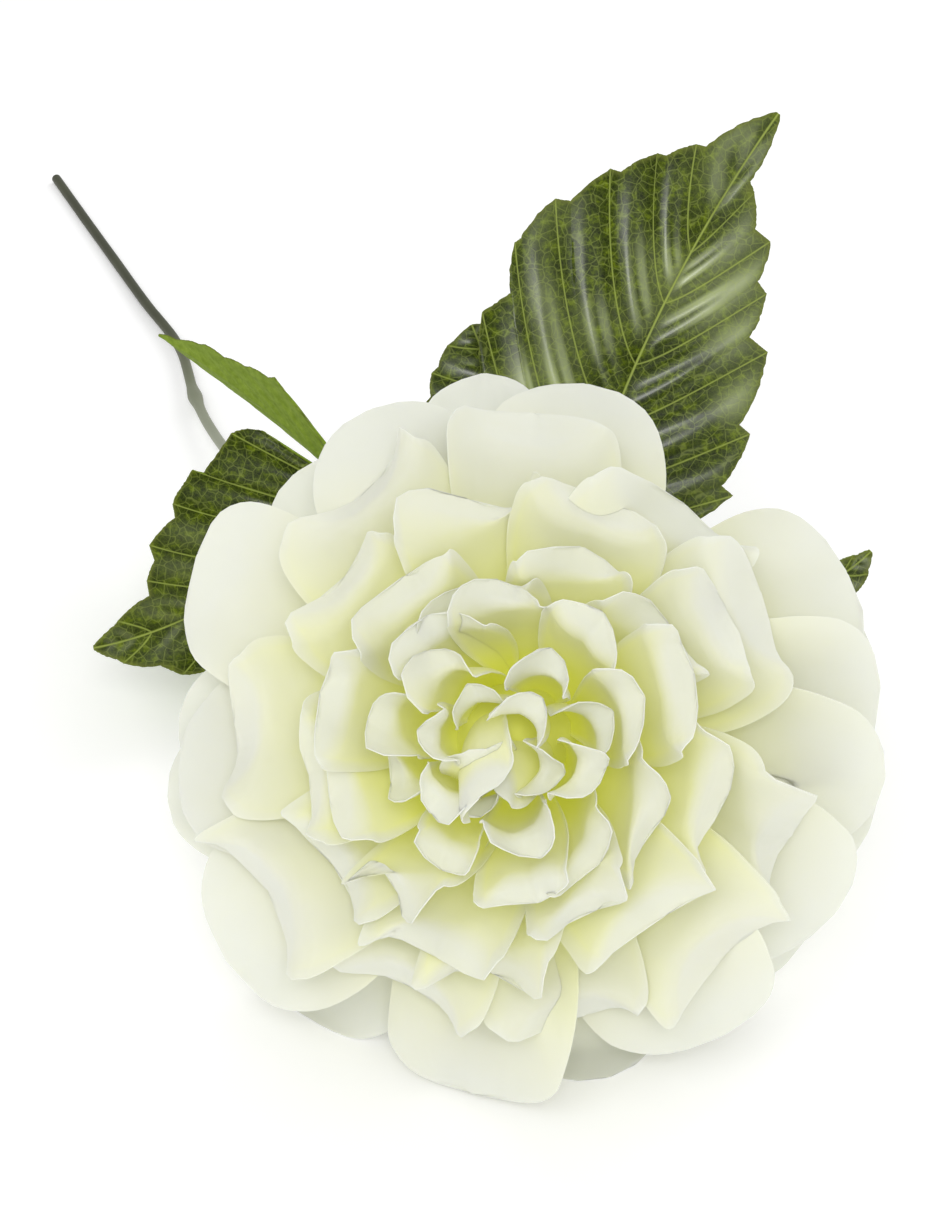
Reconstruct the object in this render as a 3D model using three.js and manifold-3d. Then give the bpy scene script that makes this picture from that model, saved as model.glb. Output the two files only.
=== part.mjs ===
// A cut dahlia lying on a table: a double white bloom that looks up from its bent neck,
// its calyx, a long thin stem and two leaf sprays. Millimetres, Z up, table at Z = 0.
// The origin is on the table, under the middle of the whole flower's outline.

import * as THREE from 'three';
import { mergeVertices } from 'three/addons/utils/BufferGeometryUtils.js';
import Module from 'manifold-3d';

const wasm = await Module();
wasm.setup();

// Where the bloom's centre stands, and the way that its face looks.
const BLOOM_PLAN_X = 39;
const BLOOM_PLAN_Y = -150.85;
const BLOOM_HEIGHT = 63;
const FACE = new THREE.Vector3(-0.1, -0.735, 0.67).normalize();

// The receptacle that the petals grow from, as radius and distance along the face's axis, with
// its flat back on the calyx. Petal roots start within the ball of CORE_RADIUS.
const CORE_RADIUS = 12;
const CORE_BACK = -8;
const CORE_PROFILE = [[0, -8], [8.6, -8], [11.6, -3.5], [13, 2], [13.5, 9], [12.4, 17], [9.6, 25],
  [5.5, 31], [0, 33.5]];
const ROOT_DEPTH = 0.68;

// Sheet thickness of a petal, a sepal and a leaf.
const PETAL_SHEET = 0.8;
const LEAF_SHEET = 0.9;

// Clearance between pieces that touch on the real flower.
const SEAT_GAP = 0.3;

// The calyx cup, its neck and its two rings of green blades.
const CALYX_TOP_RADIUS = 12.2;
const NECK_RADIUS = 3.4;
const NECK_END = -26;
const SEPALS = { count: 8, seatRadius: 10.5, seatDepth: -11, root: 108, tip: 122, length: 20, width: 9 };
const BRACTS = { count: 5, seatRadius: 6.5, seatDepth: -16.5, root: 128, tip: 100, length: 16, width: 5 };

// The stem, as points from the table spot under the bloom's centre.
const STEM_RADIUS = 1.6;
const STEM_SIDES = 9;
const STEM_STEPS = 54;
const STEM_POINTS = [
  [6.2, 47, 24.5],
  [-1, 76, 15],
  [-22, 108, 10],
  [-54, 146, 8.2],
  [-81, 180, 7.6],
  [-92, 202, 6.2],
  [-98.5, 221, 5],
  [-106.5, 252, 3.4],
  [-120.5, 280.5, 2.4],
  [-134, 309, 1.7],
  [-147.5, 337, 1.4],
  [-161, 365, 1.4],
];
const NODE_AT = [-98.5, 221, 5];
const NODE_RADIUS = 2.4;
const NODE_LENGTH = 10;

// The petal rows, from the table side up to the bud. A row's seat is its angle on the receptacle
// from the face's axis, in degrees. arch bends the blade, lip folds its end back beyond crease, and
// ears draw out the fold's two corners. cup hollows the blade and roll turns its margins back.
// A place is a petal's bearing round the axis, its tip's reach from the axis and its height along
// the axis, with any difference from its row.
const ROWS = [
  {
    seat: 110, arch: 4, lip: 6, crease: 0.8, ears: 0, width: 40, cup: 0.25, roll: 0.5, fan: 9, point: 2.5,
    places: [[-165, 87.5, -12.5], [-126, 85.5, -18], [-105, 81.5, -18.5], [-77, 82, -18.5],
      [-50, 80.5, -23.5], [-22, 81, -12], [9, 81, -12], [28, 76, -22], [99, 85, -8], [131, 83, -12],
      [175, 83, -12]],
  },
  {
    seat: 98, arch: 11, lip: 8, crease: 0.8, ears: 0, width: 44, cup: 0.35, roll: 0.45, fan: 10, point: 2.7,
    places: [[-143, 86, 2], [-94, 82.5, 2], [-60, 81, 2], [-32, 80.5, 2], [-5, 81, 2], [8, 80.5, 2],
      [27, 81.5, 0], [73, 81, 2], [112, 82.5, 2], [154, 87, 2], [-172, 81, 2]],
  },
  {
    seat: 90, arch: -6, lip: 62, crease: 0.84, ears: 0.2, width: 41, cup: 0.42, roll: 0.3, fan: 10, point: 3,
    places: [[-144, 67, 22], [-117, 63, 18], [-79, 66, 17], [-45, 68, 19], [-12, 65, 21], [24, 63, 22],
      [57, 64, 19], [84, 73, 17], [125, 70, 19], [177, 65, 18]],
  },
  {
    seat: 84, arch: -14, lip: 76, crease: 0.86, ears: 0.2, width: 35, cup: 0.5, roll: 0.1, fan: 11, point: 4,
    places: [[99, 53, 30], [68, 57, 31], [24, 55, 29], [-17, 47, 31], [-53, 48, 30], [-86, 49, 28],
      [-108, 45, 31], [-145, 46, 26], [-174, 41, 33], [138, 51, 30]],
  },
  {
    seat: 74, arch: -18, lip: 88, crease: 0.86, ears: 0.2, width: 30, cup: 0.5, roll: 0.1, fan: 13, point: 4,
    places: [[98, 32, 36], [69, 43, 35], [42, 42, 31], [12, 41, 38], [-21, 35, 37], [-56, 37, 37],
      [-118, 35, 38], [165, 35, 39], [126, 38, 38], [-165, 33, 38]],
  },
  {
    seat: 64, arch: -20, lip: 92, crease: 0.87, ears: 0.2, width: 25, cup: 0.9, roll: 0.1, fan: 14, point: 4,
    places: [[83, 32, 41], [41, 32, 41], [11, 30, 42], [-75, 28, 42], [-44, 28, 40], [110, 27, 42]],
  },
  {
    seat: 50, arch: -24, lip: 112, crease: 0.86, ears: 0.2, width: 20, cup: 1.5, roll: 0.2, fan: 18, point: 4,
    places: [[167, 21, 42], [-156, 19, 37], [-119, 21, 42], [-75, 17, 46], [-20, 18, 46], [28, 21, 39],
      [59, 19, 43], [110, 18, 45]],
  },
  {
    seat: 30, arch: -30, lip: 60, crease: 0.86, ears: 0.2, width: 17, cup: 1.3, roll: 0.2, fan: 8, point: 3,
    places: [[165, 9, 46], [-132, 9, 46, { lip: 105 }], [-77, 8, 40], [-18, 9, 43, { lip: 105 }],
      [49, 9, 46, { lip: 105 }], [113, 9, 41, { lip: 95 }],
      [136, -6, 48, { arch: -42, lip: 6, width: 23, fan: 22 }],
      [20, -2, 42, { arch: -42, lip: 6, width: 23, fan: 22 }],
      [-100, -1, 43, { arch: -42, lip: 6, width: 23, fan: 22 }]],
  },
];
const ROOT_WIDTH = 0.14;
const TIP_WIDTH = 0.16;
const WIDEST_AT = 0.68;
const LIP_SPAN = 0.12;
const LIP_BOW = 0.09;
const LIP_EARS = 0.3;
const LIP_FLATNESS = 0.4;

// How far the bud leans to the side, for each millimetre along the axis.
const BUD_LEAN = [-0.13, -0.122];

// How far a petal that meets the table slides along it, for each millimetre it is held up.
const TABLE_SLIDE = 0.8;
const TABLE_SINK = 0.2;

// The leaf sprays. Points are from the table spot under the bloom's centre. A leaflet's edge
// lists the teeth of one side from base to tip, each with the notch after it, as shares of the
// leaflet's length along and across. Side veins start nearer the base than their teeth.
const PETIOLE_RADIUS = 1.25;
const ROOT_CROWDING = 2.4;
const BROAD_LEFT = [[0.06, 0.19], [0.09, 0.2], [0.22, 0.27], [0.25, 0.268], [0.372, 0.328],
  [0.427, 0.29], [0.51, 0.326], [0.522, 0.32], [0.615, 0.295], [0.626, 0.264], [0.716, 0.226],
  [0.722, 0.204], [0.79, 0.162], [0.796, 0.144], [0.849, 0.103], [0.856, 0.085]];
const BROAD_RIGHT = [[0.02, 0.13], [0.04, 0.12], [0.112, 0.223], [0.125, 0.2], [0.229, 0.277],
  [0.24, 0.25], [0.369, 0.264], [0.378, 0.239], [0.55, 0.228], [0.561, 0.182], [0.662, 0.172],
  [0.676, 0.145], [0.764, 0.128], [0.77, 0.089], [0.835, 0.049], [0.85, 0.03]];
const SIDE_UPPER = [[0.03, 0.14], [0.04, 0.18], [0.076, 0.357], [0.11, 0.392], [0.165, 0.415],
  [0.343, 0.368], [0.367, 0.396], [0.44, 0.37], [0.509, 0.337], [0.528, 0.296], [0.675, 0.253],
  [0.68, 0.205], [0.739, 0.154], [0.75, 0.11], [0.894, 0.064], [0.91, 0.054]];
const SIDE_LOWER = [[0.04, 0.12], [0.06, 0.11], [0.14, 0.2], [0.16, 0.185], [0.26, 0.25], [0.28, 0.23],
  [0.39, 0.265], [0.41, 0.245], [0.52, 0.245], [0.54, 0.22], [0.64, 0.205], [0.66, 0.18], [0.747, 0.16],
  [0.8, 0.109], [0.915, 0.066], [0.93, 0.05]];
const SMALL = [[0.03, 0.16], [0.05, 0.15], [0.15, 0.25], [0.17, 0.235], [0.3, 0.29], [0.32, 0.265],
  [0.45, 0.29], [0.47, 0.265], [0.6, 0.26], [0.62, 0.235], [0.73, 0.225], [0.75, 0.2], [0.85, 0.17],
  [0.865, 0.145], [0.945, 0.095], [0.955, 0.07]];
const CURLED_LEFT = [[0.03, 0.06], [0.05, 0.055], [0.15, 0.12], [0.17, 0.11], [0.28, 0.2], [0.3, 0.19],
  [0.384, 0.266], [0.42, 0.225], [0.509, 0.2], [0.54, 0.175], [0.62, 0.148], [0.65, 0.128],
  [0.745, 0.125], [0.78, 0.098], [0.87, 0.055], [0.91, 0.03]];

const UPPER_SPRAY = {
  name: 'leaf_spray_upper',
  petiole: [[0, 73, 15.5], [4, 66, 34], [8, 57, 55], [10, 52, 72]],
  leaflets: [
    {
      base: [10.5, 52, 73], tip: [62.5, 124.9, 153.4], bow: [-4.5, 1, 2.5], turn: 6, fold: 0.12,
      right: BROAD_RIGHT, left: BROAD_LEFT, width: [1, 1],
    },
    {
      base: [10, 53, 72], tip: [-12.3, 95.5, 111.5], bow: [-1, 2, 2], turn: -8, fold: 0.2,
      right: SMALL, left: SMALL, width: [1, 1.25],
    },
    {
      base: [10, 52, 71], tip: [84, 52.5, 74.5], bow: [6, -5, -11], turn: 14, fold: 0.3,
      right: SMALL, left: SMALL, width: [0.5, 0.35],
    },
  ],
};
const LEFT_SPRAY = {
  name: 'leaf_spray_left',
  petiole: [[-34, 123, 9.2], [-36, 122, 20], [-40, 121, 32], [-43, 121, 41]],
  leaflets: [
    {
      base: [-43.5, 120.5, 41], tip: [-110.2, 71.9, 27.8], bow: [0, -5, -5], turn: 0, fold: 0.12,
      right: SIDE_UPPER, left: SIDE_LOWER, width: [1, 1],
    },
    {
      base: [-43, 121, 41.5], tip: [-100.3, 171.3, 59.8], bow: [0, 2, 2], turn: 103, fold: 0.16,
      right: SMALL, left: CURLED_LEFT, width: [0.8, 1],
    },
  ],
};

const PETAL = new THREE.MeshStandardMaterial({ color: 0xf3f2dc, roughness: 0.75, metalness: 0 });
const LEAF = new THREE.MeshStandardMaterial({ color: 0x3f6420, roughness: 0.5, metalness: 0 });
const GREEN = new THREE.MeshStandardMaterial({ color: 0x6f7f55, roughness: 0.55, metalness: 0 });

// The bloom's own axes: across to the right, up its face, and out along its face.
const CENTRE = new THREE.Vector3(BLOOM_PLAN_X, BLOOM_PLAN_Y, BLOOM_HEIGHT);
const RIGHT = new THREE.Vector3(1, 0, 0).addScaledVector(FACE, -FACE.x).normalize();
const UP = new THREE.Vector3().crossVectors(FACE, RIGHT);

const radians = THREE.MathUtils.degToRad;
const { lerp, smoothstep } = THREE.MathUtils;

// One seeded draw from 0 to 1 for the small differences between petals.
let drawState = 20317;
function draw() {
  drawState = (drawState * 16807) % 2147483647;
  return drawState / 2147483647;
}

function spread(amount) {
  return (draw() * 2 - 1) * amount;
}

function fromPlan([x, y, z]) {
  return new THREE.Vector3(BLOOM_PLAN_X + x, BLOOM_PLAN_Y + y, z);
}

// A closed geometry as a solid, with its faces turned out.
function solidOf(geometry) {
  const bare = geometry.clone();
  bare.deleteAttribute('normal');
  bare.deleteAttribute('uv');
  const merged = mergeVertices(bare, 1e-4);
  const vertices = merged.getAttribute('position').array;
  const corner = (index) => new THREE.Vector3().fromArray(vertices, index * 3);
  const kept = [];
  let volume = 0;
  for (let i = 0; i < merged.index.count; i += 3) {
    const [a, b, c] = [merged.index.getX(i), merged.index.getX(i + 1), merged.index.getX(i + 2)];
    if (a === b || b === c || c === a) continue;
    kept.push(a, b, c);
    volume += corner(a).dot(corner(b).cross(corner(c)));
  }
  const triangles = volume < 0 ? kept.reverse() : kept;
  return new wasm.Manifold(new wasm.Mesh({
    numProp: 3,
    vertProperties: new Float32Array(vertices),
    triVerts: new Uint32Array(triangles),
  }));
}

// The outer shell alone: where crossing blades close a pocket between them, it is filled.
function outerShell({ vertProperties, triVerts }) {
  const parent = Array.from({ length: vertProperties.length / 3 }, (_, index) => index);
  const find = (index) => {
    let top = index;
    while (parent[top] !== top) top = parent[top];
    parent[index] = top;
    return top;
  };
  for (let i = 0; i < triVerts.length; i += 3) {
    parent[find(triVerts[i + 1])] = find(triVerts[i]);
    parent[find(triVerts[i + 2])] = find(triVerts[i]);
  }
  const shells = new Map();
  for (let i = 0; i < triVerts.length; i += 3) {
    const shell = find(triVerts[i]);
    if (!shells.has(shell)) shells.set(shell, []);
    shells.get(shell).push(triVerts[i], triVerts[i + 1], triVerts[i + 2]);
  }
  return [...shells.values()].reduce((most, shell) => (shell.length > most.length ? shell : most));
}

function meshOf(solid, name, material) {
  const surface = solid.getMesh();
  const geometry = new THREE.BufferGeometry();
  geometry.setAttribute('position', new THREE.BufferAttribute(surface.vertProperties, 3));
  geometry.setIndex(outerShell(surface));
  const mesh = new THREE.Mesh(geometry, material);
  mesh.name = name;
  return mesh;
}

function joined(solids) {
  return solids.reduce((whole, solid) => whole.add(solid));
}

// A thin blade: a grid of points on its middle surface, thickened to both sides and closed
// with a rim. Both faces are split along the same diagonals.
function bladeGeometry(grid, sheet) {
  const rows = grid.length;
  const columns = grid[0].length;
  const positions = [];
  const at = (i, j, side) => (i * columns + j) * 2 + side;
  for (let i = 0; i < rows; i += 1) {
    for (let j = 0; j < columns; j += 1) {
      const along = grid[Math.min(i + 1, rows - 1)][j].clone().sub(grid[Math.max(i - 1, 0)][j]);
      const across = grid[i][Math.min(j + 1, columns - 1)].clone().sub(grid[i][Math.max(j - 1, 0)]);
      const normal = along.cross(across).normalize();
      for (const side of [-0.5, 0.5]) {
        positions.push(...grid[i][j].clone().addScaledVector(normal, side * sheet).toArray());
      }
    }
  }
  const indices = [];
  const quad = (a, b, c, d) => indices.push(a, b, c, a, c, d);
  for (let i = 0; i + 1 < rows; i += 1) {
    for (let j = 0; j + 1 < columns; j += 1) {
      quad(at(i, j, 1), at(i + 1, j, 1), at(i + 1, j + 1, 1), at(i, j + 1, 1));
      indices.push(at(i, j, 0), at(i + 1, j + 1, 0), at(i + 1, j, 0));
      indices.push(at(i, j, 0), at(i, j + 1, 0), at(i + 1, j + 1, 0));
    }
  }
  for (let i = 0; i + 1 < rows; i += 1) {
    const last = columns - 1;
    quad(at(i, 0, 0), at(i + 1, 0, 0), at(i + 1, 0, 1), at(i, 0, 1));
    quad(at(i, last, 1), at(i + 1, last, 1), at(i + 1, last, 0), at(i, last, 0));
  }
  for (let j = 0; j + 1 < columns; j += 1) {
    const last = rows - 1;
    quad(at(0, j, 1), at(0, j + 1, 1), at(0, j + 1, 0), at(0, j, 0));
    quad(at(last, j, 0), at(last, j + 1, 0), at(last, j + 1, 1), at(last, j, 1));
  }
  const geometry = new THREE.BufferGeometry();
  geometry.setAttribute('position', new THREE.Float32BufferAttribute(positions, 3));
  geometry.setIndex(indices);
  return geometry;
}

// One petal of a row, with the small differences that no two petals share. lean is the blade's
// angle from the axis, at its root and at its tip.
function varied(row, bearing, reach, height, changes) {
  const petal = { ...row, ...changes };
  const seat = radians(petal.seat);
  const start = CORE_RADIUS * ROOT_DEPTH;
  const [aside, ahead] = [reach - start * Math.sin(seat), height - start * Math.cos(seat)];
  const arch = radians(petal.arch);
  const lean = Math.atan2(aside, ahead);
  const drawn = {
    ...petal,
    seat,
    length: (Math.hypot(aside, ahead) * arch) / Math.sin(arch),
    leanRoot: lean - arch,
    leanTip: lean + arch,
    bearing: radians(bearing + spread(2)),
    width: petal.width * (1 + spread(0.08)),
    lip: radians(petal.lip * (1 + spread(0.28)) + spread(6)),
    roll: petal.roll * (1 + spread(0.3)),
    side: spread(0.5),
    fan: radians(petal.fan + spread(8)),
    twist: radians(spread(18)),
    skew: spread(0.14),
    wave: spread(4.2),
    phase: draw() * 2 * Math.PI,
  };
  return { ...drawn, point: petal.point * (1 + 0.35 * Math.sin(drawn.phase)) };
}

// Where a petal is cut along its length: more closely where its outline or its fold bends.
function cutsAlong({ crease }, number) {
  if (number < 2) return [0, 0.34, 0.64, 0.86, 0.96, 1];
  if (number < 3) return [0, 0.45, crease - 0.06, crease + 0.06, 0.97, 1];
  return number < 6 ? [0, 0.5, crease, 0.95, 1] : [0, 0.5, crease, 1];
}

// Where a petal is cut across: fewer cuts in the smaller petals of the inner rows.
function cutsAcross(number) {
  if (number < 2) return [-1, -0.5, 0, 0.5, 1];
  return number < 4 ? [-1, -0.42, 0.42, 1] : [-1, 0, 1];
}

// The middle surface of one petal, in the bloom's own axes: right, up, out.
function petalPoint(petal, s, t) {
  const steps = 24;
  const parts = 12;
  const rest = THREE.MathUtils.clamp((s - WIDEST_AT) / (1 - WIDEST_AT), 0, 1);
  const closing = Math.max(TIP_WIDTH, (1 - rest ** petal.point) ** 0.45);
  const opening = lerp(ROOT_WIDTH, 1, Math.sin((Math.PI / 2) * Math.min(1, s / WIDEST_AT)) ** 1.2);
  const half = (petal.width * opening * closing) / 2;
  const aside = t * closing;
  const uneven = 1 + petal.side * aside;
  const lip = petal.lip * (1 - LIP_EARS * aside ** 2) * uneven;
  const crease = petal.crease + LIP_BOW * aside ** 2;
  const folded = (share) => smoothstep(share, crease - LIP_SPAN / 2, crease + LIP_SPAN / 2);
  const leanAt = (share) => lerp(petal.leanRoot, petal.leanTip, share) + lip * folded(share);

  const pace = (petal.length * s * (1 + petal.ears * aside ** 4)) / steps;
  let reach = CORE_RADIUS * ROOT_DEPTH * Math.sin(petal.seat);
  let out = CORE_RADIUS * ROOT_DEPTH * Math.cos(petal.seat);
  for (let step = 0; step < steps; step += 1) {
    const lean = leanAt((s * (step + 0.5)) / steps);
    reach += Math.sin(lean) * pace;
    out += Math.cos(lean) * pace;
  }

  const hollow = petal.cup * (1 - LIP_FLATNESS * folded(s));
  const rolled = petal.roll * smoothstep(s, 0.35, 1) * uneven;
  let sideways = petal.skew * petal.length * s ** 2;
  let raised = petal.wave * Math.sin(4 * aside + petal.phase) * s ** 2 * Math.abs(aside);
  for (let part = 0; part < parts; part += 1) {
    const u = (t * (part + 0.5)) / parts;
    const tilt = petal.fan + petal.twist * s ** 2 + hollow * u - rolled * u ** 3;
    sideways += (Math.cos(tilt) * half * t) / parts;
    raised += (Math.sin(tilt) * half * t) / parts;
  }

  const radius = reach - Math.cos(leanAt(s)) * raised;
  const height = out + Math.sin(leanAt(s)) * raised;
  const leaning = Math.max(height, 0);
  return new THREE.Vector3(
    radius * Math.cos(petal.bearing) - sideways * Math.sin(petal.bearing) + BUD_LEAN[0] * leaning,
    radius * Math.sin(petal.bearing) + sideways * Math.cos(petal.bearing) + BUD_LEAN[1] * leaning,
    height,
  );
}

// From the bloom's axes to the table's. A petal that would pass through the table is held
// up by it and lies along it.
function bloomPoint(local) {
  const point = CENTRE.clone()
    .addScaledVector(RIGHT, local.x)
    .addScaledVector(UP, local.y)
    .addScaledVector(FACE, local.z);
  const lowest = PETAL_SHEET / 2 - TABLE_SINK;
  if (point.z < lowest) {
    point.y -= TABLE_SLIDE * (lowest - point.z);
    point.z = lowest;
  }
  return point;
}

function petalSolid(petal, along, across) {
  const grid = along.map((s) => across.map((t) => bloomPoint(petalPoint(petal, s, t))));
  return solidOf(bladeGeometry(grid, PETAL_SHEET));
}

// A turned shape about the bloom's axis, from points of radius and distance along the face. It
// leans to the side with the bud.
function turnedSolid(profile, sides) {
  const geometry = new THREE.LatheGeometry(profile.map(([r, w]) => new THREE.Vector2(r, w)), sides);
  const place = geometry.getAttribute('position');
  for (let i = 0; i < place.count; i += 1) {
    const leaning = Math.max(place.getY(i), 0);
    place.setX(i, place.getX(i) + BUD_LEAN[0] * leaning);
    place.setZ(i, place.getZ(i) - BUD_LEAN[1] * leaning);
  }
  const toFace = new THREE.Matrix4().makeBasis(RIGHT, FACE, UP.clone().negate());
  toFace.setPosition(CENTRE);
  geometry.applyMatrix4(toFace);
  return solidOf(geometry);
}

// All that lies below the table's top, to trim what rests on it to true flats.
function underTable() {
  const slab = new THREE.BoxGeometry(900, 1200, 40);
  slab.translate(0, 0, -20);
  return solidOf(slab);
}

function bloomSolid() {
  const solids = [turnedSolid(CORE_PROFILE, 12)];
  ROWS.forEach((row, number) => {
    const along = cutsAlong(row, number);
    const across = cutsAcross(number);
    for (const [bearing, reach, height, changes] of row.places) {
      solids.push(petalSolid(varied(row, bearing, reach, height, changes), along, across));
    }
  });
  return joined(solids).subtract(underTable());
}

// A ring of small pointed blades on the calyx, each with its root sunk in the cup.
function calyxBlades(ring, turn) {
  const blades = [];
  for (let i = 0; i < ring.count; i += 1) {
    const bearing = radians(turn + (360 * i) / ring.count);
    const grid = [0, 0.3, 0.65, 1].map((s) => {
      const lean = radians(lerp(ring.root, ring.tip, s / 2));
      const r = ring.seatRadius + Math.sin(lean) * ring.length * s - 1.5;
      const w = ring.seatDepth + Math.cos(lean) * ring.length * s;
      const half = (ring.width / 2) * Math.max(0.12, 1.15 * (1 - s ** 1.6) ** 0.8 * (0.75 + 0.5 * s));
      return [-half, 0, half].map((sideways) => new THREE.Vector3(
        r * Math.cos(bearing) - sideways * Math.sin(bearing),
        r * Math.sin(bearing) + sideways * Math.cos(bearing),
        w - 0.05 * sideways * sideways,
      ));
    });
    blades.push(solidOf(bladeGeometry(grid.map((row) => row.map(bloomPoint)), PETAL_SHEET)));
  }
  return blades;
}

function calyxSolid() {
  const profile = [
    [0, NECK_END],
    [NECK_RADIUS, NECK_END],
    [NECK_RADIUS * 1.1, -21],
    [7, -17],
    [CALYX_TOP_RADIUS * 0.9, -12.5],
    [CALYX_TOP_RADIUS, CORE_BACK - SEAT_GAP - 0.5],
    [CALYX_TOP_RADIUS * 0.93, CORE_BACK - SEAT_GAP],
    [0, CORE_BACK - SEAT_GAP],
  ];
  return joined([turnedSolid(profile, 20), ...calyxBlades(SEPALS, 0), ...calyxBlades(BRACTS, 20)]);
}

// A round section swept along a smooth curve through points.
function tubeSolid(points, radius, sides, steps) {
  const shape = new THREE.Shape();
  for (let i = 0; i <= sides; i += 1) {
    const angle = (Math.PI * 2 * i) / sides;
    const [x, y] = [radius * Math.cos(angle), radius * Math.sin(angle)];
    if (i === 0) shape.moveTo(x, y);
    else shape.lineTo(x, y);
  }
  const path = new THREE.CatmullRomCurve3(points);
  return solidOf(new THREE.ExtrudeGeometry(shape, { steps, bevelEnabled: false, extrudePath: path }));
}

// The stem's first stretch runs straight out of the calyx neck, along the face's axis.
function stemPath() {
  const neck = CENTRE.clone().addScaledVector(FACE, NECK_END - SEAT_GAP);
  const straight = neck.clone().addScaledVector(FACE, -5);
  return [neck, straight, ...STEM_POINTS.map(fromPlan)];
}

function nodeSolid() {
  const profile = [];
  for (let i = 0; i <= 6; i += 1) {
    const along = i / 6 - 0.5;
    profile.push(new THREE.Vector2(NODE_RADIUS * Math.cos(along * Math.PI), along * NODE_LENGTH));
  }
  profile[0].x = 0;
  profile[6].x = 0;
  const geometry = new THREE.LatheGeometry(profile, 10);
  const heading = new THREE.Vector3(-0.25, 0.96, -0.05).normalize();
  geometry.applyQuaternion(new THREE.Quaternion().setFromUnitVectors(new THREE.Vector3(0, 1, 0), heading));
  geometry.translate(...fromPlan(NODE_AT).toArray());
  return solidOf(geometry);
}

function stemSolid() {
  const tube = tubeSolid(stemPath(), STEM_RADIUS, STEM_SIDES, STEM_STEPS);
  return joined([tube, nodeSolid()]).subtract(underTable());
}

// A leaflet: rows of points that run from the midrib to the edge along its side veins.
function leafletSolid({ base, tip, bow, turn, fold, right, left, width }) {
  const start = fromPlan(base);
  const end = fromPlan(tip);
  const middle = start.clone().add(end).multiplyScalar(0.5).add(new THREE.Vector3(...bow).multiplyScalar(2));
  const spine = new THREE.QuadraticBezierCurve3(start, middle, end);
  const length = start.distanceTo(end);
  const heading = end.clone().sub(start).normalize();
  const facing = new THREE.Vector3(0, -0.776, 0.63).applyAxisAngle(heading, radians(turn));
  const edges = [right, left].map((side, index) => [
    [0, 0.02],
    ...side.map(([along, across]) => [along, across * width[index]]),
    [1, 0.006],
  ]);
  const grid = [];
  for (let level = 0; level < edges[0].length; level += 1) {
    const root = (edges[0][level][0] / 2 + edges[1][level][0] / 2) ** ROOT_CROWDING;
    const place = (side, t) => {
      const [along, across] = edges[side][level];
      const s = Math.min(1, lerp(root, along, t ** 1.3));
      const tangent = spine.getTangent(s);
      const normal = facing.clone().addScaledVector(tangent, -facing.dot(tangent)).normalize();
      const sideways = tangent.clone().cross(normal);
      const reach = across * t * length;
      return spine.getPoint(s)
        .addScaledVector(sideways, side === 0 ? reach : -reach)
        .addScaledVector(normal, fold * reach);
    };
    grid.push([place(0, 1), place(0, 0.5), place(0, 0), place(1, 0.5), place(1, 1)]);
  }
  for (const point of grid.flat()) {
    point.z = Math.max(point.z, LEAF_SHEET * 0.75);
  }
  return solidOf(bladeGeometry(grid, LEAF_SHEET));
}

// One spray: its stalk, its leaflets, and the saddle where the stalk's foot holds the stem.
function spraySolid(spray) {
  const stalk = tubeSolid(spray.petiole.map(fromPlan), PETIOLE_RADIUS, 6, 10);
  const whole = joined([stalk, ...spray.leaflets.map(leafletSolid)]);
  return whole.subtract(tubeSolid(stemPath(), STEM_RADIUS + SEAT_GAP, STEM_SIDES, STEM_STEPS));
}

const flower = new THREE.Group();
flower.add(meshOf(bloomSolid(), 'bloom', PETAL));
flower.add(meshOf(calyxSolid(), 'calyx', GREEN));
flower.add(meshOf(stemSolid(), 'stem', GREEN));
for (const spray of [UPPER_SPRAY, LEFT_SPRAY]) {
  flower.add(meshOf(spraySolid(spray), spray.name, LEAF));
}

export default flower;
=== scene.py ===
"""Looks of the cut dahlia: a white cloth bloom on its bent neck, with calyx, stem and leaves."""

import math

import bpy
import numpy as np
from mathutils import Matrix, Vector


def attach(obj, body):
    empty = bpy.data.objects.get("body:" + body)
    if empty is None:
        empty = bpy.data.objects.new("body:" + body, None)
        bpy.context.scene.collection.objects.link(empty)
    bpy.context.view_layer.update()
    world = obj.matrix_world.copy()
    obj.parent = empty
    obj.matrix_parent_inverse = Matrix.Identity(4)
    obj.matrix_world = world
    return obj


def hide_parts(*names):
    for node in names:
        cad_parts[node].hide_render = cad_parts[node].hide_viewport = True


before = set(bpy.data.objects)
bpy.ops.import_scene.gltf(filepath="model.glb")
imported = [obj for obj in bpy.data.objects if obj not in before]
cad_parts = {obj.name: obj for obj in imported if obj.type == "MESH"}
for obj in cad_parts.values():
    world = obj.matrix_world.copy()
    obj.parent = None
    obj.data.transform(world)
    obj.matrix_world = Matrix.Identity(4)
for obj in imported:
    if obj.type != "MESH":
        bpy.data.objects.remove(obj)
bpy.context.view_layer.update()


# The bloom's petals: seventy-five cut-outs of thin white polyester cloth, dyed yellow green at
# the root, pressed into shape with a hot iron and glued in eight rows on one receptacle. The
# rows, their angles and the seeded draws are those of the solid model.
MM = 0.001
PLAN = np.array([39.0, -150.85, 0.0]) * MM
BLOOM_HEIGHT = 63 * MM
FACE = Vector((-0.1, -0.735, 0.67)).normalized()
RIGHT = (Vector((1, 0, 0)) - FACE * FACE.x).normalized()
UP = FACE.cross(RIGHT)
CENTRE = Vector(PLAN) + Vector((0, 0, BLOOM_HEIGHT))
TO_FACE = Matrix((RIGHT, UP, FACE)).transposed()

CORE_RADIUS = 12 * MM
ROOT_DEPTH = 0.68
ROOT_WIDTH = 0.14
WIDEST_AT = 0.68
LIP_SPAN = 0.12
LIP_BOW = 0.09
LIP_EARS = 0.3
LIP_FLATNESS = 0.4
PETAL_SHEET = 0.24 * MM
PETAL_GRID = (30, 21)
BUD_LEAN = (-0.13, -0.122)
TABLE_SLIDE = 0.8
TABLE_SOFTNESS = 1.6 * MM

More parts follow.
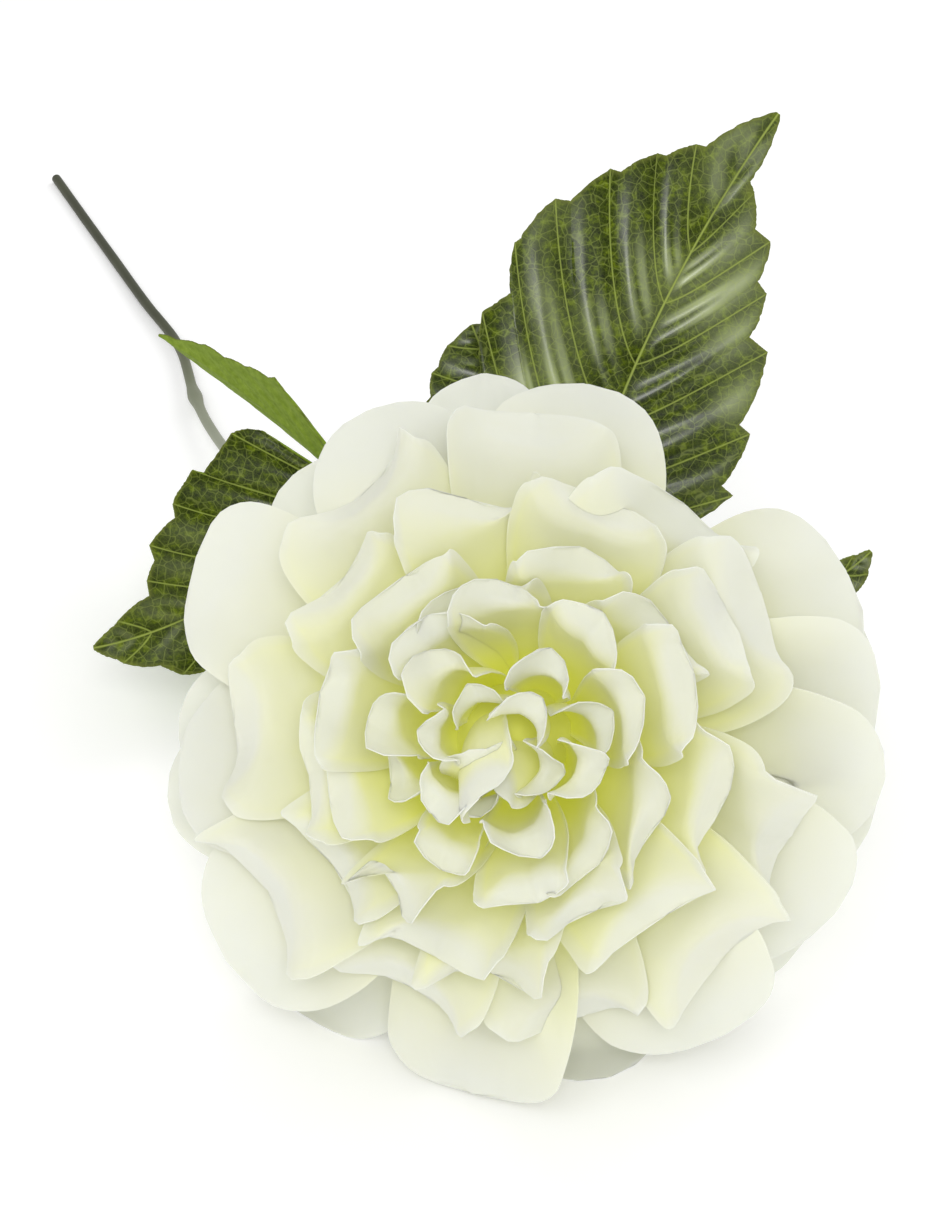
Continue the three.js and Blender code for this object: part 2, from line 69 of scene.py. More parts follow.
# A row's seat is its angle on the receptacle from the face's axis. A place is the bearing round the
# axis, the tip's reach from the axis and its height along it, and any difference from its row.
# Scratch programs measured most places in the photo and shifted them so that fewer petals cross.
ROWS = [
    dict(seat=110, arch=4, lip=6, crease=0.8, ears=0, width=40, cup=0.25, roll=0.5, fan=9, point=2.5,
         places=[
        (-165, 87.5, -12.5), (-126, 85.5, -18), (-105, 81.5, -18.5), (-77, 82, -18.5), (-50, 80.5, -23.5),
        (-22, 81, -12), (9, 81, -12), (28, 76, -22), (99, 85, -8), (131, 83, -12), (175, 83, -12)]),
    dict(seat=98, arch=11, lip=8, crease=0.8, ears=0, width=44, cup=0.35, roll=0.45, fan=10, point=2.7,
         places=[
        (-143, 86, 2), (-94, 82.5, 2), (-60, 81, 2), (-32, 80.5, 2), (-5, 81, 2), (8, 80.5, 2), (27, 81.5, 0),
        (73, 81, 2), (112, 82.5, 2), (154, 87, 2), (-172, 81, 2)]),
    dict(seat=90, arch=-6, lip=62, crease=0.84, ears=0.2, width=41, cup=0.42, roll=0.3, fan=10, point=3,
         places=[
        (-144, 67, 22), (-117, 63, 18), (-79, 66, 17), (-45, 68, 19), (-12, 65, 21), (24, 63, 22),
        (57, 64, 19), (84, 73, 17), (125, 70, 19), (177, 65, 18)]),
    dict(seat=84, arch=-14, lip=76, crease=0.86, ears=0.2, width=35, cup=0.5, roll=0.1, fan=11, point=4,
         places=[
        (99, 53, 30), (68, 57, 31), (24, 55, 29), (-17, 47, 31), (-53, 48, 30), (-86, 49, 28), (-108, 45, 31),
        (-145, 46, 26), (-174, 41, 33), (138, 51, 30)]),
    dict(seat=74, arch=-18, lip=88, crease=0.86, ears=0.2, width=30, cup=0.5, roll=0.1, fan=13, point=4,
         places=[
        (98, 32, 36), (69, 43, 35), (42, 42, 31), (12, 41, 38), (-21, 35, 37), (-56, 37, 37), (-118, 35, 38),
        (165, 35, 39), (126, 38, 38), (-165, 33, 38)]),
    dict(seat=64, arch=-20, lip=92, crease=0.87, ears=0.2, width=25, cup=0.9, roll=0.1, fan=14, point=4,
         places=[
        (83, 32, 41), (41, 32, 41), (11, 30, 42), (-75, 28, 42), (-44, 28, 40), (110, 27, 42)]),
    dict(seat=50, arch=-24, lip=112, crease=0.86, ears=0.2, width=20, cup=1.5, roll=0.2, fan=18, point=4,
         places=[
        (167, 21, 42), (-156, 19, 37), (-119, 21, 42), (-75, 17, 46), (-20, 18, 46), (28, 21, 39),
        (59, 19, 43), (110, 18, 45)]),
    dict(seat=30, arch=-30, lip=60, crease=0.86, ears=0.2, width=17, cup=1.3, roll=0.2, fan=8, point=3,
         places=[
        (165, 9, 46), (-132, 9, 46, dict(lip=105)), (-77, 8, 40), (-18, 9, 43, dict(lip=105)),
        (49, 9, 46, dict(lip=105)), (113, 9, 41, dict(lip=95)),
        (136, -6, 48, dict(arch=-42, lip=6, width=23, fan=22)),
        (20, -2, 42, dict(arch=-42, lip=6, width=23, fan=22)),
        (-100, -1, 43, dict(arch=-42, lip=6, width=23, fan=22))]),
]
PETAL_VALUES = ("bearing", "seat", "root", "tip", "lip", "crease", "ears", "length", "width", "cup", "roll",
                "side", "fan", "twist", "point", "skew", "wave", "phase", "tone")


def draws(state):
    """Endless seeded draws from 0 to 1."""
    while True:
        state = state * 16807 % 2147483647
        yield state / 2147483647


petal_draws = draws(20317)
tone_draws = draws(911)


# How far petals of one row differ: angles in degrees, wave in millimetres and the rest as shares.
SPREADS = dict(bearing=2, width=0.08, lip=0.28, lip_angle=6, roll=0.3, side=0.5, fan=8, twist=18,
               skew=0.14, wave=4.2)
POINT_CHANGE = 0.35


def spread(kind):
    return (next(petal_draws) * 2 - 1) * SPREADS[kind]


def petal_values(row, bearing, reach, height, changes=None):
    """One petal of a row as the values that its seat carries, in metres and radians."""
    row = {**row, **(changes or {})}
    seat = math.radians(row["seat"])
    start = CORE_RADIUS / MM * ROOT_DEPTH
    chord = math.hypot(reach - start * math.sin(seat), height - start * math.cos(seat))
    lean = math.atan2(reach - start * math.sin(seat), height - start * math.cos(seat))
    arch = math.radians(row["arch"])
    length = chord * arch / math.sin(arch)
    bearing = math.radians(bearing + spread("bearing"))
    width = row["width"] * (1 + spread("width"))
    lip = math.radians(row["lip"] * (1 + spread("lip")) + spread("lip_angle"))
    roll = row["roll"] * (1 + spread("roll"))
    side, fan = spread("side"), math.radians(row["fan"] + spread("fan"))
    twist, skew, wave = math.radians(spread("twist")), spread("skew"), spread("wave")
    phase = next(petal_draws) * 2 * math.pi
    point = row["point"] * (1 + POINT_CHANGE * math.sin(phase))
    return (bearing, seat, lean - arch, lean + arch, lip, row["crease"], row["ears"], length * MM, width * MM,
            row["cup"], roll, side, fan, twist, point, skew, wave * MM, phase, next(tone_draws))


def add(tree, kind, inputs=None, **settings):
    """A node with its settings and links; an input may be a value, a socket or a node's first output."""
    node = tree.nodes.new(kind)
    for name, value in settings.items():
        setattr(node, name, value)
    for socket, value in (inputs.items() if isinstance(inputs, dict) else enumerate(inputs or ())):
        if isinstance(value, bpy.types.Node):
            value = value.outputs[0]
        if isinstance(value, bpy.types.NodeSocket):
            tree.links.new(value, node.inputs[socket])
        elif value is not None:
            node.inputs[socket].default_value = value
    return node


def calc(tree, operation, *values):
    return add(tree, "ShaderNodeMath", values, operation=operation)


def mapped(tree, value, first, last, low=0.0, high=1.0, **settings):
    """A value's stretch from first to last, carried over to the one from low to high."""
    return add(tree, "ShaderNodeMapRange", {
        "Value": value, "From Min": first, "From Max": last, "To Min": low, "To Max": high}, **settings)


def noise_at(tree, place, scale, detail):
    return add(tree, "ShaderNodeTexNoise", {"Vector": place, "Scale": scale, "Detail": detail})


def carried(tree, name):
    """A value that the mesh carries at its points, for a material."""
    return add(tree, "ShaderNodeAttribute", attribute_name=name).outputs["Fac"]


def carry(mesh, name, values):
    mesh.attributes.new(name, "FLOAT", "POINT").data.foreach_set("value", values)


def in_scene(name, data):
    """The object of a mesh, lamp or camera, linked to the scene."""
    piece = bpy.data.objects.new(name, data)
    bpy.context.scene.collection.objects.link(piece)
    return piece


def new_tree(name, inputs, output):
    """A Geometry Nodes tree with named inputs, and the nodes that stand for its two ends."""
    tree = bpy.data.node_groups.new(name, "GeometryNodeTree")
    for label, kind in inputs:
        tree.interface.new_socket(label, in_out="INPUT", socket_type="NodeSocket" + kind)
    tree.interface.new_socket(output, in_out="OUTPUT", socket_type="NodeSocketGeometry")
    return tree, tree.nodes.new("NodeGroupInput"), tree.nodes.new("NodeGroupOutput")


def grown(name, mesh, tree, values):
    """Runs a tree on a mesh with these input values and gives back the plain object that it makes."""
    seed = in_scene(name + "_seed", mesh)
    modifier = seed.modifiers.new("Nodes", "NODES")
    modifier.node_group = tree
    for item in tree.interface.items_tree:
        if item.in_out == "INPUT" and item.name in values:
            modifier[item.identifier] = values[item.name]
    evaluated = seed.evaluated_get(bpy.context.evaluated_depsgraph_get())
    made = bpy.data.meshes.new_from_object(evaluated)
    bpy.data.objects.remove(seed)
    made.name = name
    return in_scene(name, made)


CUT_EDGE = math.radians(65)


def finished(piece, slot, *nodes):
    """Smooth faces, and the frame's facts of a piece that stands for CAD nodes."""
    piece.data.polygons.foreach_set("use_smooth", [True] * len(piece.data.polygons))
    piece.data.set_sharp_from_angle(angle=CUT_EDGE)
    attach(piece, "root")
    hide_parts(*nodes)
    return piece


def repeat_zone(tree, times, starts):
    """A repeat zone that carries these numbers, by name, from the nodes that they start at."""
    loop = tree.nodes.new("GeometryNodeRepeatInput")
    loop_end = tree.nodes.new("GeometryNodeRepeatOutput")
    loop.pair_with_output(loop_end)
    loop_end.repeat_items.clear()
    for item in starts:
        loop_end.repeat_items.new("FLOAT", item)
    loop.inputs["Iterations"].default_value = times
    for item, start in starts.items():
        tree.links.new(start.outputs[0], loop.inputs[item])
    return loop, loop_end


def petal_rows_tree():
    """Lays one flat grid at every seat, then bends each into its petal by the values of its seat."""
    tree, given, result = new_tree("Petal rows", [
        ("Seats", "Geometry"), ("Core radius", "Float"), ("Lengthwise", "Int"), ("Crosswise", "Int"),
        ("Table", "Float"), ("Ripple", "Float"), ("Creases", "Float"), ("Cloth", "Material")], "Petals")
    grid = add(tree, "GeometryNodeMeshGrid", {
        "Size X": 1.0, "Size Y": 1.0,
        "Vertices X": given.outputs["Lengthwise"], "Vertices Y": given.outputs["Crosswise"]})
    split = add(tree, "ShaderNodeSeparateXYZ", [grid.outputs["UV Map"]])
    left = calc(tree, "SUBTRACT", 1.0, split.outputs[0])
    finer = calc(tree, "POWER", left, 1.3)
    along = calc(tree, "SUBTRACT", 1.0, finer)
    centred = calc(tree, "SUBTRACT", split.outputs[1], 0.5)
    turned = calc(tree, "MULTIPLY", centred, math.pi)
    across = calc(tree, "SINE", turned)
    flat = add(tree, "GeometryNodeStoreNamedAttribute", {
        "Geometry": grid.outputs["Mesh"], "Name": "along", "Value": along})
    flat = add(tree, "GeometryNodeStoreNamedAttribute", {
        "Geometry": flat, "Name": "across", "Value": across})
    laid = add(tree, "GeometryNodeInstanceOnPoints", {
        "Points": given.outputs["Seats"], "Instance": flat})
    laid = add(tree, "GeometryNodeRealizeInstances", [laid])

    value = {name: add(tree, "GeometryNodeInputNamedAttribute", {"Name": name}).outputs[0]
             for name in PETAL_VALUES + ("along", "across")}
    s, t = value["along"], value["across"]

    # The outline: from a narrow root to the widest place, then round or pointed to the tip.
    opening = mapped(tree, s, 0.0, WIDEST_AT, 0.0, math.pi / 2)
    opening = calc(tree, "SINE", opening)
    opening = calc(tree, "POWER", opening, 1.2)
    opening = mapped(tree, opening, 0.0, 1.0, ROOT_WIDTH, 1.0)
    rest = mapped(tree, s, WIDEST_AT, 1.0)
    rest = calc(tree, "POWER", rest, value["point"])
    closing = calc(tree, "SUBTRACT", 1.0, rest)
    closing = calc(tree, "POWER", closing, 0.45)
    closing = calc(tree, "MAXIMUM", closing, 0.03)
    half = calc(tree, "MULTIPLY", value["width"], opening)
    half = calc(tree, "MULTIPLY", half, closing)
    half = calc(tree, "MULTIPLY", half, 0.5)
    aside = calc(tree, "MULTIPLY", t, closing)
    uneven = calc(tree, "MULTIPLY_ADD", value["side"], aside, 1.0)

    # The spine: its lean from the axis summed along the petal.
    steps = 24
    seat_radius = calc(tree, "MULTIPLY", given.outputs["Core radius"], ROOT_DEPTH)
    seat_sin = calc(tree, "SINE", value["seat"])
    seat_cos = calc(tree, "COSINE", value["seat"])
    first_reach = calc(tree, "MULTIPLY", seat_radius, seat_sin)
    first_out = calc(tree, "MULTIPLY", seat_radius, seat_cos)
    gain = calc(tree, "SUBTRACT", value["tip"], value["root"])
    eared = calc(tree, "MULTIPLY", aside, aside)
    crease = calc(tree, "MULTIPLY_ADD", eared, LIP_BOW, value["crease"])
    lip_from = calc(tree, "SUBTRACT", crease, LIP_SPAN / 2)
    lip_to = calc(tree, "ADD", crease, LIP_SPAN / 2)
    pulled = calc(tree, "MULTIPLY", eared, eared)
    pulled = calc(tree, "MULTIPLY_ADD", pulled, value["ears"], 1.0)
    eared = calc(tree, "MULTIPLY_ADD", eared, -LIP_EARS, 1.0)
    lip = calc(tree, "MULTIPLY", value["lip"], eared)
    lip = calc(tree, "MULTIPLY", lip, uneven)
    loop, loop_end = repeat_zone(tree, steps, {"Reach": first_reach, "Out": first_out})
    middle = calc(tree, "ADD", loop.outputs["Iteration"], 0.5)
    share = calc(tree, "MULTIPLY", middle, 1 / steps)
    share = calc(tree, "MULTIPLY", share, s)
    bend = calc(tree, "MULTIPLY_ADD", gain, share, value["root"])
    late = mapped(tree, share, lip_from, lip_to, interpolation_type="SMOOTHSTEP")
    bend = calc(tree, "MULTIPLY_ADD", lip, late, bend)
    pace = calc(tree, "MULTIPLY", value["length"], s)
    pace = calc(tree, "MULTIPLY", pace, pulled)
    pace = calc(tree, "MULTIPLY", pace, 1 / steps)
    bend_sin = calc(tree, "SINE", bend)
    bend_cos = calc(tree, "COSINE", bend)
    further = calc(tree, "MULTIPLY_ADD", bend_sin, pace, loop.outputs["Reach"])
    higher = calc(tree, "MULTIPLY_ADD", bend_cos, pace, loop.outputs["Out"])
    tree.links.new(further.outputs[0], loop_end.inputs["Reach"])
    tree.links.new(higher.outputs[0], loop_end.inputs["Out"])
    reach, out = loop_end.outputs["Reach"], loop_end.outputs["Out"]
    lean = calc(tree, "MULTIPLY_ADD", gain, s, value["root"])
    late = mapped(tree, s, lip_from, lip_to, interpolation_type="SMOOTHSTEP")
    lean = calc(tree, "MULTIPLY_ADD", lip, late, lean)

    # The cross-section: cupped in the middle and rolled back at the margins near the tip.
    parts = 12
    rolled = mapped(tree, s, 0.35, 1.0, interpolation_type="SMOOTHSTEP")
    flatter = calc(tree, "MULTIPLY_ADD", late, -LIP_FLATNESS, 1.0)
    hollow = calc(tree, "MULTIPLY", value["cup"], flatter)
    rolled = calc(tree, "MULTIPLY", rolled, value["roll"])
    rolled = calc(tree, "MULTIPLY", rolled, uneven)
    square = calc(tree, "MULTIPLY", s, s)
    slide = calc(tree, "MULTIPLY", value["skew"], value["length"])
    slide = calc(tree, "MULTIPLY", slide, square)
    ruffle = calc(tree, "MULTIPLY_ADD", aside, 4.0, value["phase"])
    ruffle = calc(tree, "SINE", ruffle)
    ruffle = calc(tree, "MULTIPLY", ruffle, value["wave"])
    ruffle = calc(tree, "MULTIPLY", ruffle, square)
    away = calc(tree, "ABSOLUTE", aside)
    ruffle = calc(tree, "MULTIPLY", ruffle, away)
    loop, loop_end = repeat_zone(tree, parts, {"Sideways": slide, "Raised": ruffle})
    middle = calc(tree, "ADD", loop.outputs["Iteration"], 0.5)
    u = calc(tree, "MULTIPLY", middle, 1 / parts)
    u = calc(tree, "MULTIPLY", u, t)
    cube = calc(tree, "POWER", u, 3.0)
    tilt = calc(tree, "MULTIPLY_ADD", value["twist"], square, value["fan"])
    tilt = calc(tree, "MULTIPLY_ADD", hollow, u, tilt)
    back = calc(tree, "MULTIPLY", rolled, cube)
    tilt = calc(tree, "SUBTRACT", tilt, back)
    pace = calc(tree, "MULTIPLY", half, t)
    pace = calc(tree, "MULTIPLY", pace, 1 / parts)
    tilt_sin = calc(tree, "SINE", tilt)
    tilt_cos = calc(tree, "COSINE", tilt)
    beside = calc(tree, "MULTIPLY_ADD", tilt_cos, pace, loop.outputs["Sideways"])
    above = calc(tree, "MULTIPLY_ADD", tilt_sin, pace, loop.outputs["Raised"])
    tree.links.new(beside.outputs[0], loop_end.inputs["Sideways"])
    tree.links.new(above.outputs[0], loop_end.inputs["Raised"])
    sideways, raised = loop_end.outputs["Sideways"], loop_end.outputs["Raised"]

    # Round the axis to the petal's bearing, then from the bloom's axes to the table's.
    lean_sin = calc(tree, "SINE", lean)
    lean_cos = calc(tree, "COSINE", lean)
    inward = calc(tree, "MULTIPLY", lean_cos, raised)
    radius = calc(tree, "SUBTRACT", reach, inward)
    height = calc(tree, "MULTIPLY_ADD", lean_sin, raised, out)
    flat_point = add(tree, "ShaderNodeCombineXYZ", [radius, sideways, height])
    placed = add(tree, "ShaderNodeVectorRotate", {
        "Vector": flat_point, "Axis": (0, 0, 1), "Angle": value["bearing"]}, rotation_type="AXIS_ANGLE")
    above_core = calc(tree, "MAXIMUM", height, 0.0)
    leaning = add(tree, "ShaderNodeVectorMath", {0: (*BUD_LEAN, 0), "Scale": above_core}, operation="SCALE")
    placed = add(tree, "ShaderNodeVectorMath", [placed, leaning], operation="ADD")
    shaped = add(tree, "GeometryNodeStoreNamedAttribute", {
        "Geometry": laid, "Name": "beyond", "Value": calc(tree, "SUBTRACT", s, crease)})
    shaped = add(tree, "GeometryNodeSetPosition", {"Geometry": shaped, "Position": placed})
    place = add(tree, "GeometryNodeInputPosition")
    noise = noise_at(tree, place, 42.0, 1.5)
    noise = add(tree, "ShaderNodeVectorMath", [noise.outputs["Color"], (0.5, 0.5, 0.5)], operation="SUBTRACT")
    amount = calc(tree, "MULTIPLY", square, given.outputs["Ripple"])
    noise = add(tree, "ShaderNodeVectorMath", {0: noise, "Scale": amount}, operation="SCALE")
    shaped = add(tree, "GeometryNodeSetPosition", {"Geometry": shaped, "Offset": noise})
    creases = noise_at(tree, place, 150.0, 1.0)
    creases = add(tree, "ShaderNodeVectorMath", [creases.outputs["Color"], (0.5, 0.5, 0.5)],
                  operation="SUBTRACT")
    creases = add(tree, "ShaderNodeVectorMath", [creases], operation="ABSOLUTE")
    amount = calc(tree, "MULTIPLY", square, given.outputs["Creases"])
    creases = add(tree, "ShaderNodeVectorMath", {0: creases, "Scale": amount}, operation="SCALE")
    shaped = add(tree, "GeometryNodeSetPosition", {"Geometry": shaped, "Offset": creases})
    shaped = add(tree, "GeometryNodeTransform", {
        "Geometry": shaped, "Translation": CENTRE, "Rotation": TO_FACE.to_euler()})

    # A petal that would pass through the table is held up by it and lies along it.
    place = add(tree, "GeometryNodeInputPosition")
    split = add(tree, "ShaderNodeSeparateXYZ", [place])
    under = calc(tree, "SUBTRACT", given.outputs["Table"], split.outputs[2])
    square = calc(tree, "MULTIPLY_ADD", under, under, TABLE_SOFTNESS ** 2)
    root = calc(tree, "SQRT", square)
    held = calc(tree, "ADD", under, root)
    held = calc(tree, "MULTIPLY", held, 0.5)
    along_table = calc(tree, "MULTIPLY", held, -TABLE_SLIDE)
    offset = add(tree, "ShaderNodeCombineXYZ", [0.0, along_table, held])
    shaped = add(tree, "GeometryNodeSetPosition", {"Geometry": shaped, "Offset": offset})
    shaped = add(tree, "GeometryNodeRealizeInstances", [shaped])
    shaped = add(tree, "GeometryNodeSetMaterial", {"Geometry": shaped, "Material": given.outputs["Cloth"]})
    tree.links.new(shaped.outputs[0], result.inputs[0])
    return tree


def linear(colour):
    """An sRGB hex colour as linear red, green, blue and full alpha."""
    channels = [int(colour[i:i + 2], 16) / 255 for i in (1, 3, 5)]
    return [c / 12.92 if c <= 0.04045 else ((c + 0.055) / 1.055) ** 2.4 for c in channels] + [1.0]


def new_material(name, **sockets):
    """A material with its Principled shader's constants set on the shader itself."""
    material = bpy.data.materials.new(name)
    material.use_nodes = True
    shader = material.node_tree.nodes["Principled BSDF"]
    for socket, value in sockets.items():
        shader.inputs[socket.replace("_", " ")].default_value = value
    return material, material.node_tree, shader


def ramp(tree, factor, stops):
    """A colour ramp from shares and sRGB hex colours."""
    node = add(tree, "ShaderNodeValToRGB", [factor])
    while len(node.color_ramp.elements) < len(stops):
        node.color_ramp.elements.new(1.0)
    for element, (share, colour) in zip(node.color_ramp.elements, stops):
        element.position = share
        element.color = linear(colour)
    return node


def petal_cloth():
    """Polyester petal cloth, woven fine and sized stiff: soft matte white with a faint sheen, a
    little light through it, and a yellow-green dye that runs out from the root. A faint painted
    glow, strongest at the root, stands in for the light that stacked thin petals pass to one another."""
    material, tree, shader = new_material("Dyed polyester petal cloth", Roughness=0.72, IOR=1.5)
    shader.inputs["Subsurface Weight"].default_value = 0.8
    shader.inputs["Subsurface Radius"].default_value = (1.0, 1.0, 0.85)
    shader.inputs["Subsurface Scale"].default_value = 0.8 * MM
    # Strength of the painted glow, whose colour the ramp below sets.
    shader.inputs["Emission Strength"].default_value = 0.3
    shader.inputs["Sheen Weight"].default_value = 0.12
    shader.inputs["Sheen Roughness"].default_value = 0.4
    shader.inputs["Specular IOR Level"].default_value = 0.3
    along = carried(tree, "along")
    tone = carried(tree, "tone")
    place = add(tree, "ShaderNodeTexCoord").outputs["Object"]
    blotch = noise_at(tree, place, 60.0, 2.0)
    shift = calc(tree, "MULTIPLY_ADD", blotch, 0.22, -0.11)
    shift = calc(tree, "MULTIPLY_ADD", tone, 0.12, shift)
    length = carried(tree, "length")
    far = calc(tree, "MULTIPLY", along, length)
    far = mapped(tree, far, 6 * MM, 74 * MM)
    beyond = carried(tree, "beyond")
    lip = mapped(tree, beyond, -0.14, 0.04)
    lip = calc(tree, "MULTIPLY", lip, 0.84)
    aside = carried(tree, "across")
    aside = calc(tree, "ABSOLUTE", aside)
    margin = mapped(tree, aside, 0.55, 1.0)
    margin = calc(tree, "MULTIPLY", margin, along)
    paleness = calc(tree, "MAXIMUM", far, lip)
    paleness = calc(tree, "MAXIMUM", paleness, margin)
    paleness = calc(tree, "ADD", paleness, shift)
    colour = ramp(tree, paleness, [(0.0, "#dcde38"), (0.2, "#e2e472"), (0.4, "#e4e5aa"), (0.6, "#e1e2c2"),
                                   (0.8, "#dfe0ce"), (1.0, "#e0e2d6")])
    tree.links.new(colour.outputs[0], shader.inputs["Base Color"])
    # Painted glow: emission, yellow-green at the root and dark at the tip, that lights the shaded depths
    # between the petals.
    painted_glow = ramp(tree, paleness, [(0.0, "#a4a63c"), (0.3, "#8a8c54"), (0.6, "#646550"), (1.0, "#303130")])
    tree.links.new(painted_glow.outputs[0], shader.inputs["Emission Color"])
    weave = noise_at(tree, place, 900.0, 3.0)
    bump = add(tree, "ShaderNodeBump", {"Strength": 0.05, "Distance": 0.1 * MM, "Height": weave})
    tree.links.new(bump.outputs[0], shader.inputs["Normal"])
    return material


PETAL_CLOTH = petal_cloth()
PETAL_TREE = petal_rows_tree()


def petal_row(name, petals, ripple, creases):
    """One row of petals as one piece: its seats carry the values, and the tree grows the cloth."""
    seats = bpy.data.meshes.new(name + "_seats")
    seats.from_pydata([(0, 0, 0)] * len(petals), [], [])
    for index, label in enumerate(PETAL_VALUES):
        carry(seats, label, [petal[index] for petal in petals])
    piece = grown(name, seats, PETAL_TREE, {
        "Core radius": CORE_RADIUS, "Lengthwise": PETAL_GRID[0], "Crosswise": PETAL_GRID[1],
        "Table": PETAL_SHEET, "Ripple": ripple, "Creases": creases, "Cloth": PETAL_CLOTH})
    thicken = piece.modifiers.new("Cloth thickness", "SOLIDIFY")
    thicken.thickness = PETAL_SHEET
    thicken.offset = 0
    evaluated = piece.evaluated_get(bpy.context.evaluated_depsgraph_get())
    sheet = bpy.data.meshes.new_from_object(evaluated)
    piece.modifiers.clear()
    piece.data = sheet
    return finished(piece, "petal_fabric", "bloom")


for number, row in enumerate(ROWS, 1):
    petals = [petal_values(row, *place) for place in row["places"]]
    petal_row(f"petals_row_{number}", petals, (1.8 + 0.2 * number) * MM, (0.4 + 0.035 * number ** 2) * MM)


# The receptacle: a turned core wound with the petals' dyed cloth, which the petals are glued to.
# Its flat back sits on the calyx, and its rounded front fills the bud between the last petals.
CORE_TONE = (("beyond", -1.0), ("along", 1.0), ("length", 20 * MM))
CORE_PROFILE = [(0, -8), (8.6, -8), (11.6, -3.5), (13, 2), (13.5, 9), (12.4, 17), (9.6, 25),
                (5.5, 31), (0, 33.5)]


def turned(name, profile, sides, material):
    """A profile of radius and height, in millimetres, turned about the face's axis and closed."""
    points, faces = [], []
    for r, w in profile:
        ring = sides if r > 0 else 1
        for k in range(ring):
            angle = 2 * math.pi * k / ring
            local = Vector((r * math.cos(angle) + BUD_LEAN[0] * max(w, 0),
                            r * math.sin(angle) + BUD_LEAN[1] * max(w, 0), w)) * MM
            points.append(CENTRE + TO_FACE @ local)
    starts = np.cumsum([0] + [sides if r > 0 else 1 for r, _ in profile])
    for level in range(len(profile) - 1):
        a, b = starts[level], starts[level + 1]
        for k in range(sides):
            j = (k + 1) % sides
            low = [a + k, a + j] if profile[level][0] > 0 else [a]
            high = [b + j, b + k] if profile[level + 1][0] > 0 else [b]
            faces.append([int(v) for v in low + high])
    mesh = bpy.data.meshes.new(name)
    mesh.from_pydata(points, [], faces)
    mesh.materials.append(material)
    return in_scene(name, mesh)


def moulded_green():
    """Moulded polyethylene, matt green with a grey bloom and fine mould grain."""
    material, tree, shader = new_material("Moulded green polyethylene", Roughness=0.58, IOR=1.5)
    place = add(tree, "ShaderNodeTexCoord").outputs["Object"]
    mottle = noise_at(tree, place, 140.0, 4.0)
    colour = ramp(tree, mottle, [(0.25, "#4d5d2f"), (0.5, "#667545"), (0.8, "#818c60")])
    tree.links.new(colour.outputs[0], shader.inputs["Base Color"])
    grain = noise_at(tree, place, 1200.0, 2.0)
    bump = add(tree, "ShaderNodeBump", {"Strength": 0.2, "Distance": 0.1 * MM, "Height": grain})
    tree.links.new(bump.outputs[0], shader.inputs["Normal"])
    return material


MOULDED_GREEN = moulded_green()
core = turned("receptacle", CORE_PROFILE, 48, PETAL_CLOTH)
for label, value in CORE_TONE:
    carry(core.data, label, [value] * len(core.data.vertices))
finished(core, "petal_fabric", "bloom")


# The calyx: one moulding of green plastic, a cup with a ring of eight sepals under the petals
# and five smaller bracts that bend back, on a short neck that the stem is pushed into.
CALYX_PROFILE = [(0, -26), (3.1, -26), (3.4, -25.6), (3.6, -22.5), (4.6, -19.5), (7, -17), (9.6, -14.4),
                 (11.2, -12), (12, -9.6), (12.1, -8.8), (11.4, -8.3), (0, -8.3)]
BLADE_SHEET = 0.7 * MM
BLADE_SINK = 1.5
SEPALS = dict(count=8, turn=0, radius=10.5, depth=-11, root=108, tip=122, length=20, width=9)
BRACTS = dict(count=5, turn=20, radius=6.5, depth=-16.5, root=128, tip=100, length=16, width=5)


def closed_sheet(grid, thickness):
    """Points and faces of a sheet with both its sides and its rim, from a grid of middle points."""
    rows, columns = grid.shape[:2]
    lengthwise, crosswise = np.gradient(grid, axis=0), np.gradient(grid, axis=1)
    normal = np.cross(lengthwise, crosswise)
    normal /= np.linalg.norm(normal, axis=2, keepdims=True) + 1e-12
    points = np.concatenate([(grid + normal * thickness / 2).reshape(-1, 3),
                             (grid - normal * thickness / 2).reshape(-1, 3)])
    index = np.arange(rows * columns).reshape(rows, columns)
    far = index + rows * columns
    faces = []
    for i in range(rows - 1):
        for j in range(columns - 1):
            a, b, c, d = index[i, j], index[i + 1, j], index[i + 1, j + 1], index[i, j + 1]
            faces += [(a, b, c, d), (far[i, j], far[i, j + 1], far[i + 1, j + 1], far[i + 1, j])]
    loop = np.concatenate([index[0, :-1], index[:-1, -1], index[-1, :0:-1], index[:0:-1, 0]])
    for k, a in enumerate(loop):
        b = loop[(k + 1) % len(loop)]
        faces.append((a, b, b + rows * columns, a + rows * columns))
    return points, [tuple(int(v) for v in face) for face in faces]


